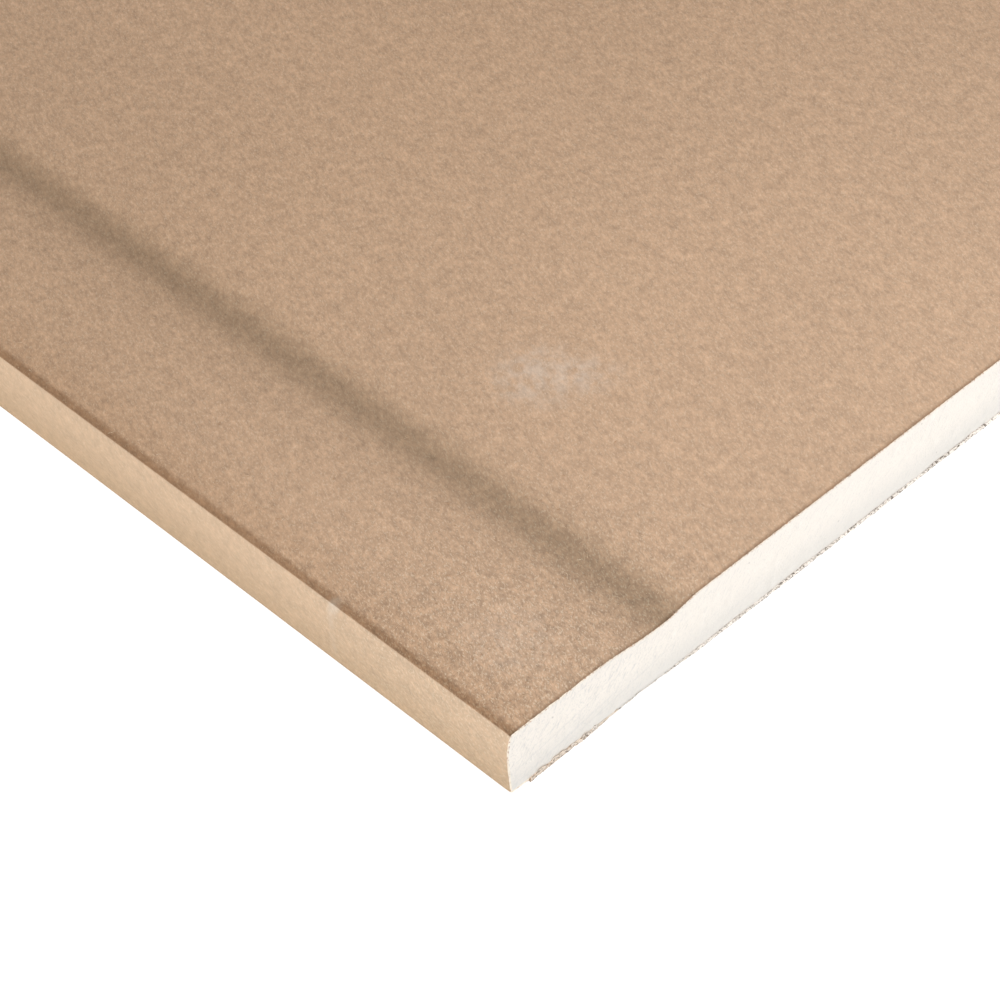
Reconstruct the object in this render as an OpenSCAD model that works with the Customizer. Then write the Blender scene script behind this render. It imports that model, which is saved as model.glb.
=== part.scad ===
// A sheet of plasterboard lying face up: a gypsum core between two papers.
// The face paper wraps both long edges and folds under onto the back, and
// the back paper is glued over that fold. X runs along the sheet, Y across
// it, and Z up out of the face. The underside of the back paper is at Z = 0.

/* [Sheet] */
// Length of the sheet, along X
sheet_l = 2400; // [600:100:3600]
// Width of the sheet, from one bound edge to the other
sheet_w = 1200; // [600:50:1250]
// Thickness of the sheet in the field
sheet_t = 12.5; // [12:0.5:15]

/* [Papers] */
// Thickness of the face paper
face_paper_t = 0.4; // [0.2:0.05:0.45]
// Thickness of the back paper
back_paper_t = 0.4; // [0.2:0.05:0.6]
// Distance from the edge to the end of the face paper folded under it
fold_w = 22; // [12:1:30]
// Distance from the edge to the border of the back paper
back_inset = 4; // [2:0.5:10]

/* [Bound edge] */
// Height of the widest line of the convex edge
widest_z = 7.5; // [6:0.5:8]
// How far the upper arris lies in from the widest line
arris_inset = 0.95; // [0.6:0.05:2]
// How far the lower corner lies in from the widest line
corner_inset = 0.25; // [0.15:0.05:1]
// Drop of the upper arris below the field
arris_drop = 0.1; // [0:0.05:0.4]
// Radius of the bend in the paper at the upper arris
arris_r = 0.5; // [0.5:0.05:0.8]
// Radius of the bend in the paper at the lower corner
corner_r = 0.5; // [0.5:0.05:0.8]

/* [Dished taper] */
// Depth of the dish that runs along each bound edge
dish_d = 1.1; // [0.2:0.1:2]
// Distance from the edge to the deepest line of the dish
dish_at = 31.5; // [30:0.5:40]
// Width of the long slope, between the edge's land and the deepest line
dish_outer_w = 14; // [10:0.5:24]
// Width of the short slope, between the deepest line and the field
dish_inner_w = 8.5; // [6:0.5:20]

/* [Hidden] */
lower_steps = 8;
upper_steps = 6;
edge_steps = lower_steps + upper_steps;
bend_steps = 4;
slope_steps = 12;
arris_z = sheet_t - arris_drop;
upper_edge_r = arc_radius(arris_z - widest_z, arris_inset);
lower_edge_r = arc_radius(widest_z - back_paper_t, corner_inset);
land_end = dish_at - dish_outer_w;
dish_end = dish_at + dish_inner_w;

// Radius of the arc that moves over by inset in a height h from its widest line
function arc_radius(h, inset) = (h * h + inset * inset) / (2 * inset);

function unit(v) = v / norm(v);
function reversed(path) = [for (i = [len(path) - 1:-1:0]) path[i]];

// Height of the edge's points, from the lower corner to the widest line to the arris
function edge_height(i) =
    i < lower_steps
    ? back_paper_t + (widest_z - back_paper_t) * i / lower_steps
    : widest_z + (arris_z - widest_z) * (i - lower_steps) / upper_steps;

// Distance of the convex edge from the sheet's widest line, at height z
function edge_inset(z) =
    let (r = z > widest_z ? upper_edge_r : lower_edge_r)
    r - sqrt(r * r - pow(z - widest_z, 2));

function edge_point(i) = [edge_inset(edge_height(i)), edge_height(i)];

// Height of the face across the dish, falling and rising as a half cosine each
function dish_point(s) =
    let (u = (s - dish_at) / (s < dish_at ? dish_outer_w : dish_inner_w))
    [s, sheet_t - dish_d * (1 + cos(180 * u)) / 2];

// Points of the arc of radius r that rounds the corner b between a and c
function rounded(a, b, c, r) =
    let (
        to_a = unit(a - b),
        to_c = unit(c - b),
        half = acos(to_a * to_c) / 2,
        centre = b + unit(to_a + to_c) * r / sin(half),
        first = b + to_a * r / tan(half) - centre,
        last = b + to_c * r / tan(half) - centre
    )
    [for (i = [0:bend_steps]) centre + r * unit(first + (last - first) * i / bend_steps)];

// The path moved by t to its right-hand side, with mitred corners
function moved_right(path, t) = [
    for (i = [0:len(path) - 1])
        let (
            before = unit(path[max(i, 1)] - path[max(i, 1) - 1]),
            after_i = min(i, len(path) - 2),
            after = unit(path[after_i + 1] - path[after_i]),
            mitre = unit(before + after)
        )
        path[i] + [mitre.y, -mitre.x] * t / (mitre * after)
];

// Outside of the face paper at one edge, as [distance from the edge, height],
// from the end of the fold round the edge and across the dish to the field
fold_end = [fold_w, back_paper_t];
outside = concat(
    [fold_end],
    rounded(fold_end, edge_point(0), edge_point(1), corner_r),
    [for (i = [1:edge_steps - 1]) edge_point(i)],
    rounded(edge_point(edge_steps - 1), edge_point(edge_steps), [land_end, sheet_t], arris_r),
    [for (i = [0:slope_steps]) dish_point(land_end + dish_outer_w * i / slope_steps)],
    [for (i = [1:slope_steps]) dish_point(dish_at + dish_inner_w * i / slope_steps)]
);

// Where the face paper lies against the core
inside = moved_right(outside, face_paper_t);

// The path carried to the sheet's left edge, and mirrored to its right edge
function at_left(path) = [for (p = path) [p.x - sheet_w / 2, p.y]];
function at_right(path) = [for (p = path) [sheet_w / 2 - p.x, p.y]];

// Draws a section that lies in Y and Z along the whole length of the sheet
module along_sheet() {
    translate([-sheet_l / 2, 0, 0])
        rotate([90, 0, 90])
            linear_extrude(sheet_l)
                children();
}

module gypsum_core() {
    color("#f2efe9")
        along_sheet()
            polygon(concat(
                at_left([fold_end]),
                at_left(inside),
                reversed(at_right(inside)),
                at_right([fold_end])
            ));
}

module face_paper() {
    color("#c6a88a")
        along_sheet()
            polygon(concat(
                at_left(outside),
                reversed(at_right(outside)),
                at_right(inside),
                reversed(at_left(inside))
            ));
}

module back_paper() {
    color("#a98e70")
        along_sheet()
            translate([back_inset - sheet_w / 2, 0])
                square([sheet_w - 2 * back_inset, back_paper_t]);
}

gypsum_core();
face_paper();
back_paper();
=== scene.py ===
import math

import bmesh
import bpy
import numpy as np
from mathutils import Matrix, Vector, noise


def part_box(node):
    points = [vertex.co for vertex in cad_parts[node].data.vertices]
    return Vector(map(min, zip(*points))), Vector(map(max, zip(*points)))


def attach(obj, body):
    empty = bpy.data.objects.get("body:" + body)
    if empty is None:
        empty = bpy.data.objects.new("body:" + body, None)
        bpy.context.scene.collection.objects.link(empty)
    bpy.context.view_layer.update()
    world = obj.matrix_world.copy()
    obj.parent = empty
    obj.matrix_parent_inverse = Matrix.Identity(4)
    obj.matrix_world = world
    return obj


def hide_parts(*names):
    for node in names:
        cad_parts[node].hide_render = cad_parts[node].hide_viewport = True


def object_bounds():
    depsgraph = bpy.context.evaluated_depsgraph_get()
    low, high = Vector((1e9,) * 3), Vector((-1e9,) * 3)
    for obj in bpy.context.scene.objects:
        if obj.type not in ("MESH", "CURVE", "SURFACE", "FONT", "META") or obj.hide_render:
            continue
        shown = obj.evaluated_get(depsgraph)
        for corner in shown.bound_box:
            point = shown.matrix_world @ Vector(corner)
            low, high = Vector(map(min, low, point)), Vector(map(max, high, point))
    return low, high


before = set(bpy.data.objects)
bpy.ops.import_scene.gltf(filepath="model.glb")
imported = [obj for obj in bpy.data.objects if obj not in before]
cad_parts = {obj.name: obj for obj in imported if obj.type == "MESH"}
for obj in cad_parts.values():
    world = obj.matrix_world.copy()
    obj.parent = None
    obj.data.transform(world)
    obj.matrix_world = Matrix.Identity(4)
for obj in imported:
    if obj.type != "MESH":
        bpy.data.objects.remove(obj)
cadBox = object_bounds()
mm = 0.001
sheetHigh = cadBox[1]
halfLength = sheetHigh.x
halfWidth = sheetHigh.y
sheetThickness = sheetHigh.z
print("frame loaded:", sorted(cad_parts))


def linearColour(hexText):
    # sRGB hex to the linear values that the shaders take
    channels = [int(hexText[i:i + 2], 16) / 255 for i in (1, 3, 5)]
    linear = [c / 12.92 if c <= 0.04045 else ((c + 0.055) / 1.055) ** 2.4 for c in channels]
    return (*linear, 1.0)


def addNode(tree, kind, inputs=None, **settings):
    # inputs: socket name or number to a value, a socket, or a node whose first live output is meant
    node = tree.nodes.new(kind)
    for name, value in settings.items():
        setattr(node, name, value)
    for key, value in (inputs or {}).items():
        if isinstance(key, int):
            socket = node.inputs[key]
        else:
            socket = next(s for s in node.inputs if s.enabled and s.name == key)
        if isinstance(value, bpy.types.Node):
            value = next(s for s in value.outputs if s.enabled)
        if isinstance(value, bpy.types.NodeSocket):
            tree.links.new(value, socket)
        else:
            socket.default_value = value
    return node


def newMaterial(name, specular, roughness):
    # what never varies over a surface is set on the shader itself
    material = bpy.data.materials.new(name)
    material.use_nodes = True
    tree = material.node_tree
    shader = next(n for n in tree.nodes if n.type == "BSDF_PRINCIPLED")
    shader.inputs["Specular IOR Level"].default_value = specular
    shader.inputs["Roughness"].default_value = roughness
    return material, tree, shader


def finishMaterial(tree, shader, colour, layers, height, depth, strength):
    # layers, each an amount, a tint and a way to blend it, go over the colour one after another
    for amount, tint, blend in layers:
        colour = addNode(tree, "ShaderNodeMix", {
            "Factor": amount, "A": colour, "B": linearColour(tint),
        }, data_type="RGBA", blend_type=blend)
    bump = addNode(tree, "ShaderNodeBump", {"Height": height, "Distance": depth, "Strength": strength})
    tree.links.new(next(s for s in colour.outputs if s.enabled), shader.inputs["Base Color"])
    tree.links.new(bump.outputs["Normal"], shader.inputs["Normal"])


def smoothNoise(x, y, z, size):
    # -1..1, with bumps about as wide as size
    return noise.noise(Vector((x, y, z)) / size)


def addObject(name, data):
    made = bpy.data.objects.new(name, data)
    bpy.context.scene.collection.objects.link(made)
    return made


def meshObject(name, points, faces, materials, faceMaterials=None, smooth=True):
    mesh = bpy.data.meshes.new(name)
    mesh.from_pydata([tuple(p) for p in points], [], faces)
    for material in materials:
        mesh.materials.append(material)
    if faceMaterials is not None:
        mesh.polygons.foreach_set("material_index", np.asarray(faceMaterials, np.int32))
    mesh.polygons.foreach_set("use_smooth", [smooth] * len(mesh.polygons))
    mesh.update()
    return addObject(name, mesh)


def endOutline(nodeName):
    # the loop of (y, z) points round a node's +X end
    work = bmesh.new()
    work.from_mesh(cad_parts[nodeName].data)
    bmesh.ops.remove_doubles(work, verts=work.verts, dist=1e-6)
    rim = [
        e for e in work.edges
        if all(abs(v.co.x - halfLength) < 1e-6 for v in e.verts)
        and any(abs(f.normal.x) < 0.5 for f in e.link_faces)
    ]
    neighbours = {}
    for e in rim:
        for a, b in (e.verts, reversed(e.verts)):
            neighbours.setdefault(a, []).append(b)
    start = rim[0].verts[0]
    loop = [start, neighbours[start][0]]
    while loop[-1] != start:
        a, b = neighbours[loop[-1]]
        loop.append(b if a == loop[-2] else a)
    outline = [(v.co.y, v.co.z) for v in loop[:-1]]
    work.free()
    return outline


def nearest(loop, target):
    return min(range(len(loop)), key=lambda k: math.dist(loop[k], target))


def stretches(loop, targets):
    # the loop's stretches from each target to the next, round to the first one again
    i = nearest(loop, targets[0])
    turned = loop[i:] + loop[:i]
    if nearest(turned, targets[1]) > nearest(turned, targets[-1]):
        turned = [turned[0]] + turned[:0:-1]
    marks = [nearest(turned, t) for t in targets] + [len(turned)]
    closed = turned + turned[:1]
    return [closed[a:b + 1] for a, b in zip(marks, marks[1:])]


def alongPath(path, share):
    # the points at those shares of a path's length
    path = np.asarray(path)
    reached = np.concatenate([[0], np.cumsum(np.linalg.norm(np.diff(path, axis=0), axis=1))])
    at = np.asarray(share) * reached[-1]
    return np.stack([np.interp(at, reached, path[:, 0]), np.interp(at, reached, path[:, 1])], axis=-1)


paperLoop = endOutline("face_paper")
lowPoints = [p for p in paperLoop if p[1] < sheetThickness / 4]
foldY = min(abs(p[0]) for p in lowPoints)
foldLow = min(p[1] for p in lowPoints)
foldHigh = max(p[1] for p in lowPoints if abs(abs(p[0]) - foldY) < 1e-6)
paperThickness = foldHigh - foldLow
foldCorners = [(-foldY, foldLow), (foldY, foldLow), (foldY, foldHigh), (-foldY, foldHigh)]
paperOuter, _, paperInner, _ = stretches(paperLoop, foldCorners)
foldWidth = halfWidth - foldY
print("section read: paper", round(paperThickness / mm, 2), "mm, fold", round(foldWidth / mm, 1), "mm wide")

meshPitch = {
    "atArris": 0.15 * mm,    # across the creased arris
    "nearEdge": 0.45 * mm,   # over the dished margin and a little beyond it
    "inField": 1.6 * mm,
    "arrisZone": 4 * mm,
    "edgeZone": 130 * mm,
}


def pitchAt(y):
    fromEdge = halfWidth - abs(y)
    if fromEdge < meshPitch["arrisZone"]:
        return meshPitch["atArris"]
    return meshPitch["nearEdge"] if fromEdge < meshPitch["edgeZone"] else meshPitch["inField"]


def pitchedPaths(paths):
    # points added to every path at the same shares of each stretch, as close as the first path needs
    finer = [[] for path in paths]
    for k, (a, b) in enumerate(zip(paths[0], paths[0][1:])):
        length, done, shares = math.dist(a, b), 0.0, []
        while done < length:
            shares.append(done / length)
            done += pitchAt(a[0] + (b[0] - a[0]) * done / length)
        if len(shares) > 1 and 1 - shares[-1] < 0.3 * (shares[-1] - shares[-2]):
            shares.pop()
        for points, path in zip(finer, paths):
            start, end = np.array(path[k]), np.array(path[k + 1])
            points.extend(start + (end - start) * share for share in shares)
    return [np.array(points + [np.array(path[-1])]) for points, path in zip(finer, paths)]


def columnPlaces():
    # the y of each column across a cut end
    places = [-halfWidth]
    while places[-1] < halfWidth:
        places.append(places[-1] + max(pitchAt(places[-1]), meshPitch["nearEdge"]))
    places[-1] = halfWidth
    return np.array(places)


cutRelief = {
    "waveSize": 9 * mm,          # long waves of the snapped core
    "waveDepth": 0.10 * mm,
    "grainSize": 1.1 * mm,       # crumbly grain
    "grainDepth": 0.05 * mm,
    "pitSize": 1.7 * mm,         # air bubbles and lost grains
    "pitDepth": 0.22 * mm,
    "chipSize": 5.5 * mm,        # chips along the lower arris
    "chipHeight": 0.42 * mm,
    "bruiseFrom": 9 * mm,        # beside the bound edge the arris is taken to have crumbled most
    "bruiseTo": 38 * mm,
    "bruiseHeight": 0.8 * mm,
}


def softStep(x, low, high):
    t = min(1.0, max(0.0, (x - low) / (high - low)))
    return t * t * (3 - 2 * t)


def chipHeight(y, end):
    # how high the lower arris is broken away, at the end with that x
    r = cutRelief
    fromEdge = halfWidth - abs(y)
    ragged = 0.55 + 0.5 * smoothNoise(y, end, 0.3, r["chipSize"])
    ragged += 0.3 * smoothNoise(y, end, 0.7, r["chipSize"] / 6)
    lowerArris = softStep(fromEdge, r["bruiseFrom"], r["bruiseFrom"] + 4 * mm)
    lowerArris *= 1 - softStep(fromEdge, r["bruiseTo"] - 6 * mm, r["bruiseTo"])
    uncovered = softStep(fromEdge, 3 * mm, 6 * mm)
    return max(0.0, ragged) * uncovered * (r["chipHeight"] + (r["bruiseHeight"] - r["chipHeight"]) * lowerArris)


def coreInset(y, z, end):
    # how far the core's face lies behind the plane of the cut
    r = cutRelief
    wave = 0.5 + 0.5 * smoothNoise(y, end, z, r["waveSize"])
    grain = 0.5 + 0.5 * smoothNoise(y, end + 3, z, r["grainSize"])
    pit = max(0.0, smoothNoise(y, end + 7, z, r["pitSize"]) - 0.42) / 0.58
    chip = max(0.0, foldLow + chipHeight(y, end) - z)
    return wave * r["waveDepth"] + grain * r["grainDepth"] + pit * r["pitDepth"] + 0.9 * chip


coreMesh = {"rows": 20, "reliefReach": 3 * mm}


def buildCore(gypsum):
    corners = [
        (-halfWidth, foldLow), (-halfWidth, sheetThickness),
        (halfWidth, sheetThickness), (halfWidth, foldLow),
    ]
    left, top, right, bottom = stretches(endOutline("gypsum_core"), corners)
    places = columnPlaces()
    u = (places - places[0]) / (places[-1] - places[0])
    v = (np.arange(coreMesh["rows"] + 1) / coreMesh["rows"]) ** 1.2
    low, high = alongPath(bottom[::-1], u), alongPath(top, u)
    near, far = alongPath(left, v), alongPath(right[::-1], v)
    across, up = u[None, :, None], v[:, None, None]
    # a Coons patch fills the section between its four sides
    section = (1 - up) * low[None] + up * high[None] + (1 - across) * near[:, None] + across * far[:, None]
    lowCorners = (1 - across) * low[0] + across * low[-1]
    highCorners = (1 - across) * high[0] + across * high[-1]
    section -= (1 - up) * lowCorners + up * highCorners
    rowCount, columnCount = section.shape[:2]
    points, faces = [], []
    number = np.arange(rowCount * columnCount).reshape(rowCount, columnCount)
    quads = np.stack([number[:-1, :-1], number[:-1, 1:], number[1:, 1:], number[1:, :-1]], axis=-1)
    rim = np.concatenate([number[0], number[1:, -1], number[-1, -2::-1], number[-2:0:-1, 0]])
    flat = section.reshape(-1, 2)
    for end in (halfLength, -halfLength):
        side = math.copysign(1, end)
        first = len(points)
        points += [(end - side * coreInset(y, z, end), y, z) for y, z in flat]
        faces += (first + quads.reshape(-1, 4)).tolist()
    # the rim runs back to the plain section, and that runs the length of the sheet
    rings = [rim]
    for x in (halfLength - coreMesh["reliefReach"], coreMesh["reliefReach"] - halfLength):
        rings.append(len(points) + np.arange(len(rim)))
        points += [(x, y, z) for y, z in flat[rim]]
    rings.append(rim + rowCount * columnCount)
    for a, b in zip(rings, rings[1:]):
        faces += [[a[k - 1], a[k], b[k], b[k - 1]] for k in range(len(rim))]
    piece = meshObject("gypsum_core_cut", points, faces, [gypsum])
    return outwardAndSharp(piece, 50)


facePaper = {
    "creaseAt": 1.35 * mm,        # from the widest line of the bound edge
    "creaseWidth": 0.32 * mm,
    "creaseDepth": 0.13 * mm,
    "burrReach": 0.5 * mm,        # the knife drags the paper down a little where it is cut
    "burrDepth": 0.09 * mm,
    "tornDepth": 0.16 * mm,       # unevenness of the cut edge
    "tornSize": 0.9 * mm,
    "outerPlyShare": 0.20,
    "stations": [0, 0.25, 0.6, 1.2, 2.5, 6, 15, 40, 120, 400],  # mm from each cut end
}


def buildFacePaper(paper, cutPaper, outerPlyInShade):
    f = facePaper
    outer, inner = pitchedPaths([paperOuter, paperInner[::-1]])
    along = np.gradient(outer, axis=0)
    along /= np.linalg.norm(along, axis=1)[:, None]
    inward = np.stack([along[:, 1], -along[:, 0]], axis=1)
    fromEdge = halfWidth - np.abs(outer[:, 0])
    crease = f["creaseDepth"] * np.exp(-((fromEdge - f["creaseAt"]) / f["creaseWidth"]) ** 2 / 2)
    crease[outer[:, 1] < sheetThickness / 2] = 0
    fromEnds = [s * mm for s in f["stations"]]
    stations = [halfLength - s for s in fromEnds] + [0] + [s - halfLength for s in fromEnds[::-1]]
    columnCount = len(outer)
    points, faces, slots = [], [], []
    for x in stations:
        fromEnd = halfLength - abs(x)
        burr = f["burrDepth"] * math.exp(-fromEnd / f["burrReach"])
        for (y, z), (ny, nz), dip in zip(outer, inward, crease):
            drop = dip + burr * (0.7 + 0.6 * smoothNoise(y, x, z, f["tornSize"] * 2))
            torn = 0.5 + 0.5 * smoothNoise(y, x, z * 2, f["tornSize"]) if fromEnd == 0 else 0
            points.append((x - math.copysign(torn * f["tornDepth"], x), y + ny * drop, z + nz * drop))
    for x in (halfLength, -halfLength):
        for k, share in ((0, f["outerPlyShare"]), (1, 1.0)):
            for (oy, oz), (iy, iz) in zip(outer, inner):
                y, z = oy + (iy - oy) * share, oz + (iz - oz) * share
                torn = 0.5 + 0.5 * smoothNoise(y, x + k, z * 2, f["tornSize"] / 2)
                points.append((x - math.copysign(torn * f["tornDepth"] * 0.8, x), y, z))
    grid = np.arange(len(stations) * columnCount).reshape(len(stations), columnCount)
    rest = len(stations) * columnCount + np.arange(4 * columnCount).reshape(4, columnCount)
    plusMid, plusInner, minusMid, minusInner = rest
    strips = [(a, b, 0) for a, b in zip(grid, grid[1:])]
    strips += [(grid[0], plusMid, 2), (plusMid, plusInner, 1), (plusInner, minusInner, 0)]
    strips += [(minusInner, minusMid, 1), (minusMid, grid[-1], 2)]
    for a, b, slot in strips:
        faces += [[a[j], a[j + 1], b[j + 1], b[j]] for j in range(columnCount - 1)]
        slots += [slot] * (columnCount - 1)
    for j in (0, columnCount - 1):
        faces.append([*grid[:, j], minusMid[j], minusInner[j], plusInner[j], plusMid[j]])
        slots.append(0)
    piece = meshObject("face_paper_web", points, faces, [paper, cutPaper, outerPlyInShade], slots)
    # the web's own map: along the sheet, and round the section from the middle of the face
    reached = np.concatenate([[0], np.cumsum(np.linalg.norm(np.diff(outer, axis=0), axis=1))])
    roundSection = np.tile(reached - reached[-1] / 2, len(stations) + 4)
    placeOnWeb(piece, roundSection)
    return outwardAndSharp(piece, 55)


def placeOnWeb(piece, roundSection):
    # a UV map in metres, so that a paper's fibres follow it round its folds
    mesh = piece.data
    corner = np.zeros(len(mesh.loops), np.int32)
    mesh.loops.foreach_get("vertex_index", corner)
    place = np.zeros(len(mesh.vertices) * 3)
    mesh.vertices.foreach_get("co", place)
    along = place.reshape(-1, 3)[:, 0]
    web = mesh.uv_layers.new(name="paperWeb")
    places = np.stack([along[corner], roundSection[corner]], axis=1)
    web.data.foreach_set("uv", places.ravel().astype(np.float32))


def outwardAndSharp(piece, degrees):
    # normals point outwards, and edges sharper than that stay crisp under smooth shading
    work = bmesh.new()
    work.from_mesh(piece.data)
    bmesh.ops.recalc_face_normals(work, faces=work.faces)
    for e in work.edges:
        if e.is_manifold and e.calc_face_angle(0) > math.radians(degrees):
            e.smooth = False
    work.to_mesh(piece.data)
    work.free()
    return piece


backPaper = {
    "tornBase": -0.32 * mm,     # it stands a little proud of the cut
    "tornBack": (27 * mm, 9 * mm, 0.42 * mm),  # but not there: from the bound edge, how wide, how deep
    "tornWave": 0.16 * mm,      # how far the torn border wanders
    "tornWaveSize": 2.2 * mm,
    "toothDepth": 0.20 * mm,    # ragged teeth of fibre bundles
    "toothSize": 0.55 * mm,
    "thinReach": 1.2 * mm,      # the torn border feathers out over this
    "flapSize": 1.3 * mm,       # loose ply standing up against the core
    "flapZone": 18 * mm,        # more of them, and taller, beside the bound edge
    "flapShares": (0.6, -0.1),
    "flapHeights": (2.3, 0.8),  # in paper thicknesses
    "pitch": 0.3 * mm,
    "fieldPitches": 3,          # and this many times farther apart in the field
}


def backInset(y, end):
    b = backPaper
    wave = 0.5 + 0.5 * smoothNoise(y, end, 0.2, b["tornWaveSize"])
    tooth = abs(smoothNoise(y, end, 0.9, b["toothSize"]))
    at, width, depth = b["tornBack"]
    wave += depth / b["tornWave"] * math.exp(-((halfWidth - abs(y) - at) / width) ** 4)
    return b["tornBase"] + wave * b["tornWave"] + tooth * b["toothDepth"] + 0.25 * chipHeight(y, end)


def buildBackPaper(paper, tornPaper):
    b = backPaper
    low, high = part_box("back_paper")
    places = [low.y]
    while places[-1] < high.y:
        nearEdge = halfWidth - abs(places[-1]) < meshPitch["edgeZone"]
        places.append(places[-1] + b["pitch"] * (1 if nearEdge else b["fieldPitches"]))
    places[-1] = high.y
    points, faces, slots, rings = [], [], [], []
    # each ring runs across the sheet, and the rings go round the section from the +X end's underside
    for end in (halfLength, -halfLength):
        side = math.copysign(1, end)
        insets = np.array([backInset(y, end) for y in places])
        flaps = []
        for y in places:
            k = 0 if halfWidth - abs(y) < b["flapZone"] else 1
            flap = b["flapShares"][k] + smoothNoise(y, end, 0.5, b["flapSize"])
            flaps.append(b["flapHeights"][k] * min(1, max(0, flap)))
        levels = [  # how far in, how high in paper thicknesses, and how much of the flap
            (4 * mm, 0.0, 0), (b["thinReach"], 0.0, 0), (0.06 * mm, 0.03, 0), (0.0, 0.45, 0),
            (-0.07 * mm, 1.0, 1), (0.03 * mm, 1.0, 0.9), (0.42 * mm, 1.0, 0), (4 * mm, 1.0, 0),
        ]
        ends = []
        for back, level, lifted in levels:
            ends.append(len(points) + np.arange(len(places)))
            for y, inset, flap in zip(places, insets, flaps):
                frayed = 0.12 * smoothNoise(y, end, level, b["toothSize"]) if 0 < level < 1 else 0
                height = level + frayed + flap * lifted
                points.append((end - side * (inset + back), y, low.z + (high.z - low.z) * height))
        rings += ends if side > 0 else ends[::-1]
    for k, (a, c) in enumerate(zip(rings, rings[1:] + rings[:1])):
        faces += [[a[j], a[j + 1], c[j + 1], c[j]] for j in range(len(places) - 1)]
        slots += [1 if k % len(levels) in (1, 2, 3, 4, 5) else 0] * (len(places) - 1)
    for j in (0, len(places) - 1):
        faces.append([ring[j] for ring in rings])
        slots.append(0)
    piece = meshObject("back_paper_web", points, faces, [paper, tornPaper], slots)
    placeOnWeb(piece, np.array([p[1] for p in points]))
    return outwardAndSharp(piece, 55)


faceLiner = {
    "name": "recycled kraft face liner, calendered",
    "pulp": "#c2a082",           # warm brown of sorted waste fibre
    "paleFibre": "#e8d3b8",
    "darkFibre": "#8e7056",
    "speck": "#5d4836",          # bits of bark and old print
    "dust": "#e4dcd2",           # gypsum dust rubbed into the surface
    "fibreLength": 0.62 * mm,
    "fibreWidth": 0.26 * mm,     # bundles: a single fibre is 0.03 mm and would not show
    "paleShare": 0.56,
    "darkShare": 0.34,
    "paleFrom": 0.645,
    "darkFrom": 0.63,
    "grainSpread": 0.54,
    "unevenness": [  # size along and across, noise detail, swing in tone
        ((2.6 * mm, 2.6 * mm), 2.0, 0.34),  # pulp settles in flocks on the wire
        ((38 * mm, 38 * mm), 2.0, 0.08),
        ((60 * mm, 2.5 * mm), 1.0, 0.06),   # and the web runs lengthwise
    ],
    "grainSize": 0.95 * mm,
    "lie": 22,                   # degrees from the sheet's length to the way most fibres lie
    "combing": (0.72, 1.35),     # the grain is drawn out that way and narrowed across it
    "paleAngles": (8, 24, 46),
    "darkAngles": (16, 34, 70),
    "scuffReach": 60 * mm,       # the corners are handled and scuffed, so their fibres show more
    "calmShare": 0.70,
    "speckSize": 2.4 * mm,
    "roughness": 0.82,
    "reliefDepth": 0.16 * mm,
    "dishShadeAt": 33.0 * mm,      # painted shade: a darker line along the dish, a little past its deepest line
    "dishShadeWidth": 2.9 * mm,
    "dishShadeTint": "#d2d3d0",
    "creaseFrom": 0.95 * mm,     # painted shade, dark in the score where the paper turns over the arris
    "creaseTo": 1.75 * mm,
    "creaseFade": 1.3 * mm,
    "creaseRagged": 1.1 * mm,
    "raggedSize": 1.2 * mm,
    "creaseShadeTint": "#cfc6bb",
    "stripGrain": 0.85,          # the bound edge itself is smoother and paler
    "stripTint": "#d5c4aa",
    "lowShadeTo": 12.3 * mm,       # and painted shade makes it darker towards its lower corner
    "lowShadeTint": "#e9e7e0",
    # darker and warmer within about this of the bound edge
    "marginReach": 7 * mm,
    "marginTint": "#fbf8f4",
    "cutShadeTint": "#97856f",        # painted shade on the last of the paper beside the cut
    "dustReach": 120 * mm,       # sawing dust, thickest beside the cut ends
    "dustShare": 0.05,
    "chalkSize": 2.4 * mm,       # chalk catches in patches about this wide
    "smudges": [  # from the +X cut end, from the -Y bound edge, radius, strength
        (50 * mm, 56 * mm, 8 * mm, 0.26),
        (44 * mm, 62 * mm, 5 * mm, 0.18),
        (13 * mm, 14 * mm, 8 * mm, 0.10),
        (37 * mm, 1.3 * mm, 1.3 * mm, 0.60),
    ],
}


def fibreLayers(tree, place, angles, length, width, threshold, shift):
    # sets of short streaks, each set lying one way: 0 between the fibres and 1 on one
    found = 0.0
    bend = addNode(tree, "ShaderNodeTexNoise", {"Vector": place, "Scale": 0.45 / length, "Detail": 0.0})
    centred = addNode(tree, "ShaderNodeVectorMath", {
        0: bend.outputs["Color"], 1: (0.5, 0.5, 0.5),
    }, operation="SUBTRACT")
    curved = addNode(tree, "ShaderNodeVectorMath", {
        0: centred, 1: (0.35 * length,) * 3, 2: place,
    }, operation="MULTIPLY_ADD")
    for k, angle in enumerate(angles):
        turned = addNode(tree, "ShaderNodeMapping", {
            "Vector": curved, "Rotation": (0, 0, math.radians(angle)),
        })
        stretched = addNode(tree, "ShaderNodeVectorMath", {
            0: turned, 1: (1 / length, 1 / width, 1 / width), 2: (shift + 7.3 * k, 3.1 * k, 0),
        }, operation="MULTIPLY_ADD")
        streak = addNode(tree, "ShaderNodeTexNoise", {"Vector": stretched, "Scale": 1.0, "Detail": 0.0})
        fibre = addNode(tree, "ShaderNodeMapRange", {
            "Value": streak, "From Min": threshold, "From Max": threshold + 0.14,
        }, interpolation_type="SMOOTHSTEP")
        found = addNode(tree, "ShaderNodeMath", {0: found, 1: fibre}, operation="MAXIMUM")
    return found


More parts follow.
